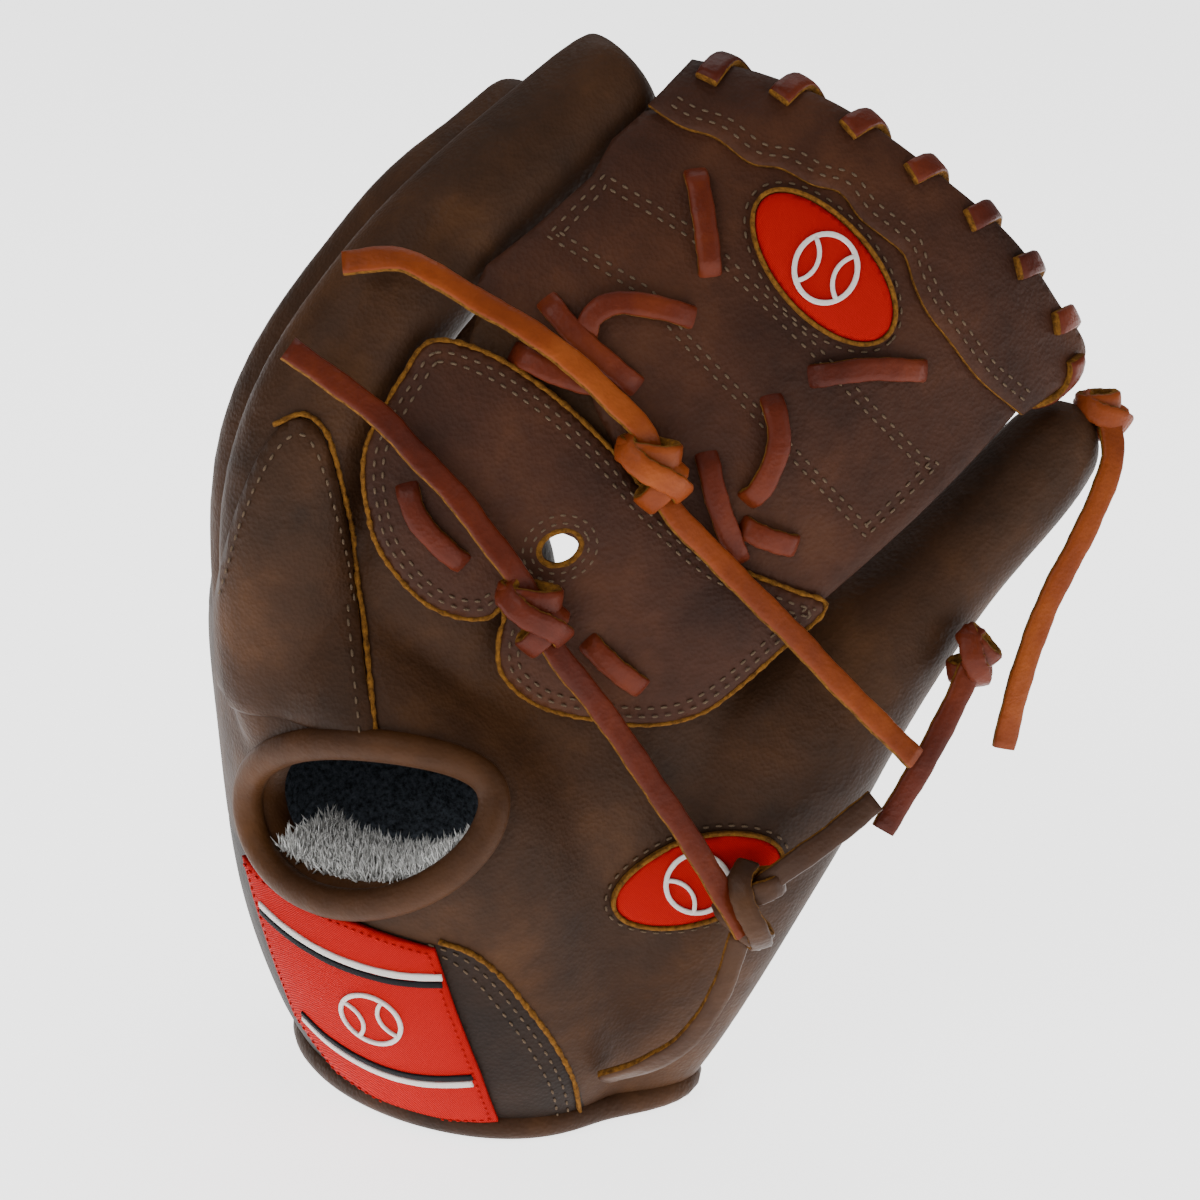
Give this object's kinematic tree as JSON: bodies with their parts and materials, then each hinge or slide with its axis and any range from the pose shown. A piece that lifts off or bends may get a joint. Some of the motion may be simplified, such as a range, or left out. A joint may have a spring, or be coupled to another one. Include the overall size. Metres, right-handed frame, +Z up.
{
  "type": "baseball fielder's glove",
  "caption": "Left-hand-worn leather ball glove standing on its wrist rim: separate finger stalls, thumb side that folds to close the pocket, closed two-piece web and rawhide lacing.",
  "frame": {"origin": "middle of the wrist opening, on the surface the glove stands on", "axes": "+Z up from the wrist rim to the fingertips, +X from the finger side to the thumb side, +Y from the back of the hand towards the pocket"},
  "size_m": [0.2458, 0.1655, 0.2923],
  "materials": {
    "shell_leather": "oiled grain, semi-matt",
    "palm_leather": "oiled grain, semi-matt",
    "strap_leather": "oiled grain, darker",
    "binding": "rolled edge, smooth",
    "lace": "rawhide lace, semi-matt",
    "red_patch": "embroidered patch",
    "lining": "soft dark lining",
    "shearling": "white pile",
    "felt": "wool felt"
  },
  "bodies": {
    "hand_side": {"palm_leather": "palm_leather", "back_leather": "shell_leather", "wrist_strap": "strap_leather", "wrist_rim": "binding", "opening_binding": "binding", "hand_lining": "lining", "palm_pad": "felt", "index_front": "palm_leather", "index_back": "shell_leather", "index_stall": "lining", "middle_front": "palm_leather", "middle_back": "shell_leather", "middle_stall": "lining", "ring_front": "palm_leather", "ring_back": "shell_leather", "ring_stall": "lining", "pinky_front": "palm_leather", "pinky_back": "shell_leather", "pinky_stall": "lining", "label_patch": "red_patch", "index_pad": "shell_leather", "shearling_pad": "shearling", "web_outer_panel": "shell_leather", "web_inner_panel": "palm_leather", "web_crown_strip": "shell_leather", "web_base_piece": "shell_leather", "web_oval_patch": "red_patch", "web_top_lace": "lace", "web_index_lace": "lace", "web_thumb_lace": "lace", "web_panel_lace": "lace", "web_cross_lace": "lace", "web_base_lace": "lace", "web_foot_lace": "lace", "fingertip_lace": "lace", "web_knot": "lace", "base_knot": "lace", "tail_web_up": "lace", "tail_web_down": "lace", "tail_base_up": "lace", "tail_base_down": "lace"},
    "thumb_side": {"thumb_back": "shell_leather", "thumb_front": "palm_leather", "thumb_stall": "lining", "thumb_heel_pad": "shell_leather", "thumb_oval_patch": "red_patch", "heel_lace": "lace", "thumb_tip_knot": "lace", "thumb_side_knot": "lace", "heel_knot": "lace", "tail_thumb_tip": "lace", "tail_thumb_side": "lace", "tail_heel": "lace"}
  },
  "joints": [
    {"name": "thumb_close", "type": "hinge", "parent": "hand_side", "child": "thumb_side", "pos_m": [0.034, -0.014, 0], "axis": [0, 0, 1], "range_deg": [0, 25]}
  ]
}
